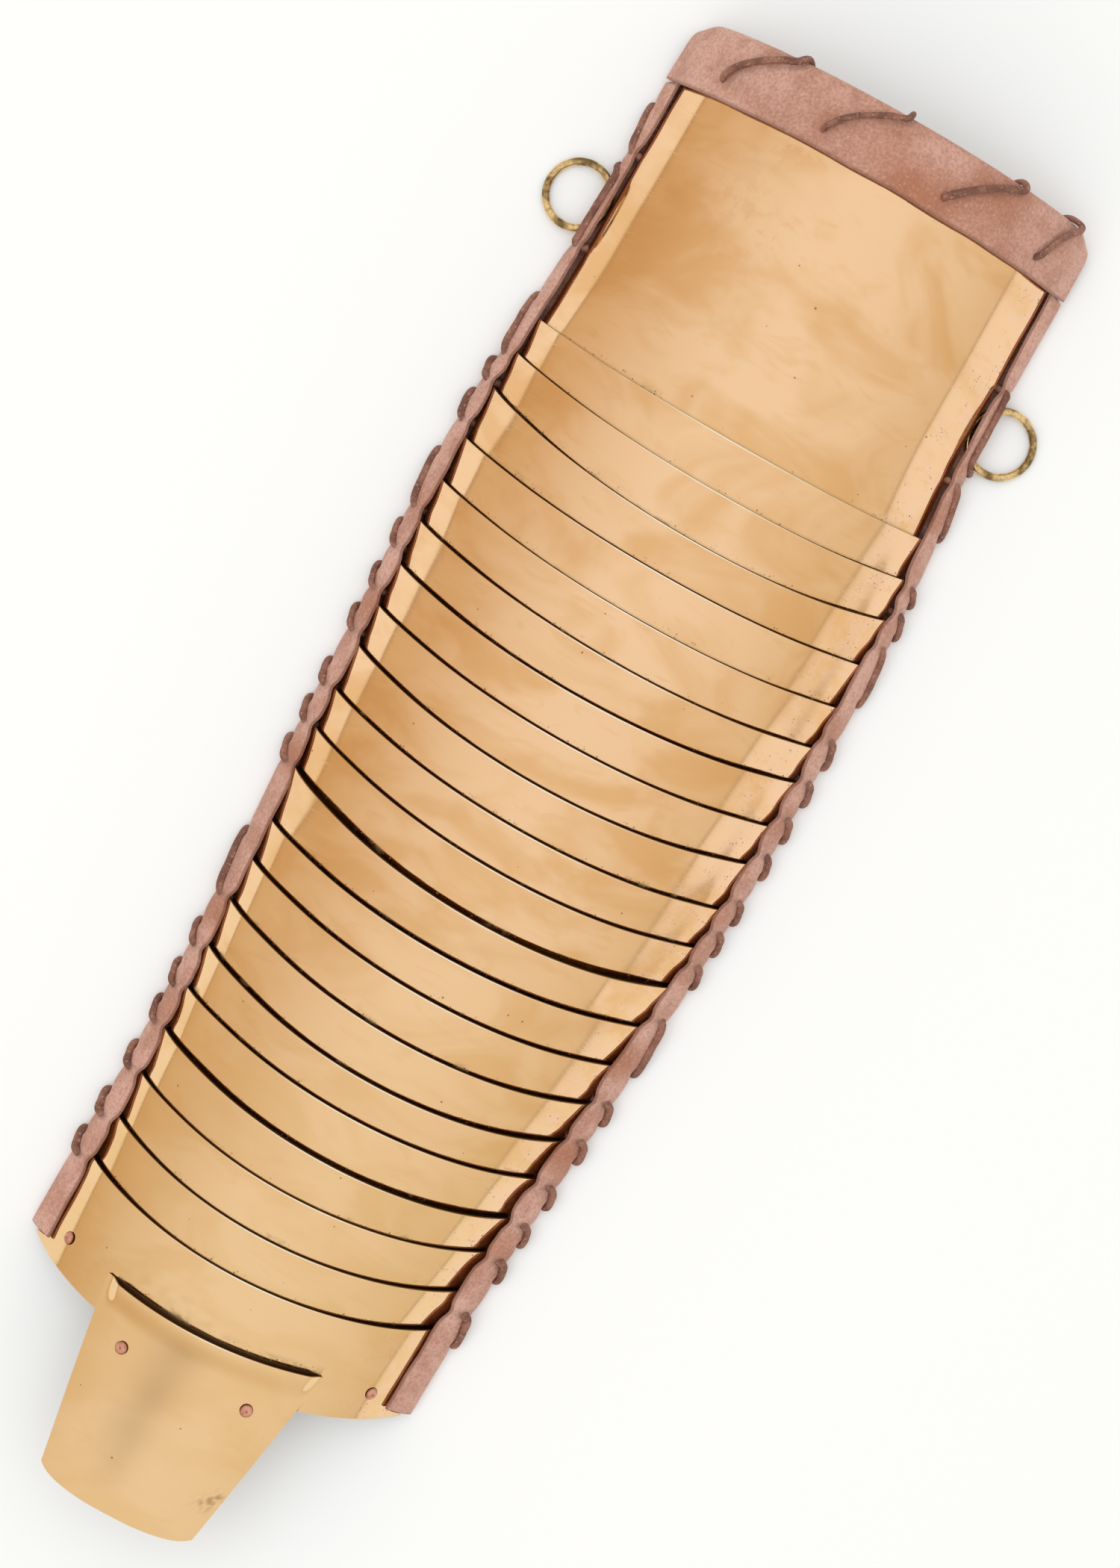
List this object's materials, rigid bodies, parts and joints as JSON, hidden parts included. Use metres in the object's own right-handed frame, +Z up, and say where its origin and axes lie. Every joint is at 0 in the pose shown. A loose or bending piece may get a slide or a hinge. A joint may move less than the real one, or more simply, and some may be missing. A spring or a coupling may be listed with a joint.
{
  "type": "manica arm guard",
  "caption": "Segmented arm guard: a half tube of overlapping brass lames with a large shoulder plate, a hand guard, laced leather edges and tie rings.",
  "frame": {"origin": "middle of the object's box, on the surface that it lies on", "axes": "+Y along the arm to the shoulder end, +Z up out of the round back, X across the arch; the open side is down"},
  "size_m": [0.2382, 0.6738, 0.0665],
  "materials": {
    "brass_sheet": "worn satin polish with specks of tarnish and fine scratches",
    "edging_leather": "matt pinkish brown suede with darker cut edges",
    "lacing_thong": "dark red-brown thong, slightly waxed",
    "ring_wire": "antiqued brass wire with rubbed highlights",
    "rivet_copper": "copper heads with a dark ring of tarnish"
  },
  "bodies": {
    "root": {"shoulder_plate": "brass_sheet", "wrist_plate": "brass_sheet", "hand_guard": "brass_sheet", "shoulder_binding": "edging_leather", "edging_left": "edging_leather", "edging_right": "edging_leather", "shoulder_lacing": "lacing_thong", "lacing_left": "lacing_thong", "lacing_right": "lacing_thong", "ring_left": "ring_wire", "ring_right": "ring_wire", "wrist_rivet_left": "rivet_copper", "wrist_rivet_right": "rivet_copper", "guard_rivet_left": "rivet_copper", "guard_rivet_right": "rivet_copper", "lame_01": "brass_sheet", "lame_02": "brass_sheet", "lame_03": "brass_sheet", "lame_04": "brass_sheet", "lame_05": "brass_sheet", "lame_06": "brass_sheet", "lame_07": "brass_sheet", "lame_08": "brass_sheet", "lame_09": "brass_sheet", "lame_10": "brass_sheet", "lame_11": "brass_sheet", "lame_12": "brass_sheet", "lame_13": "brass_sheet", "lame_14": "brass_sheet", "lame_15": "brass_sheet", "lame_16": "brass_sheet", "lame_17": "brass_sheet", "lame_18": "brass_sheet", "lame_19": "brass_sheet", "lame_20": "brass_sheet"}
  },
  "joints": []
}
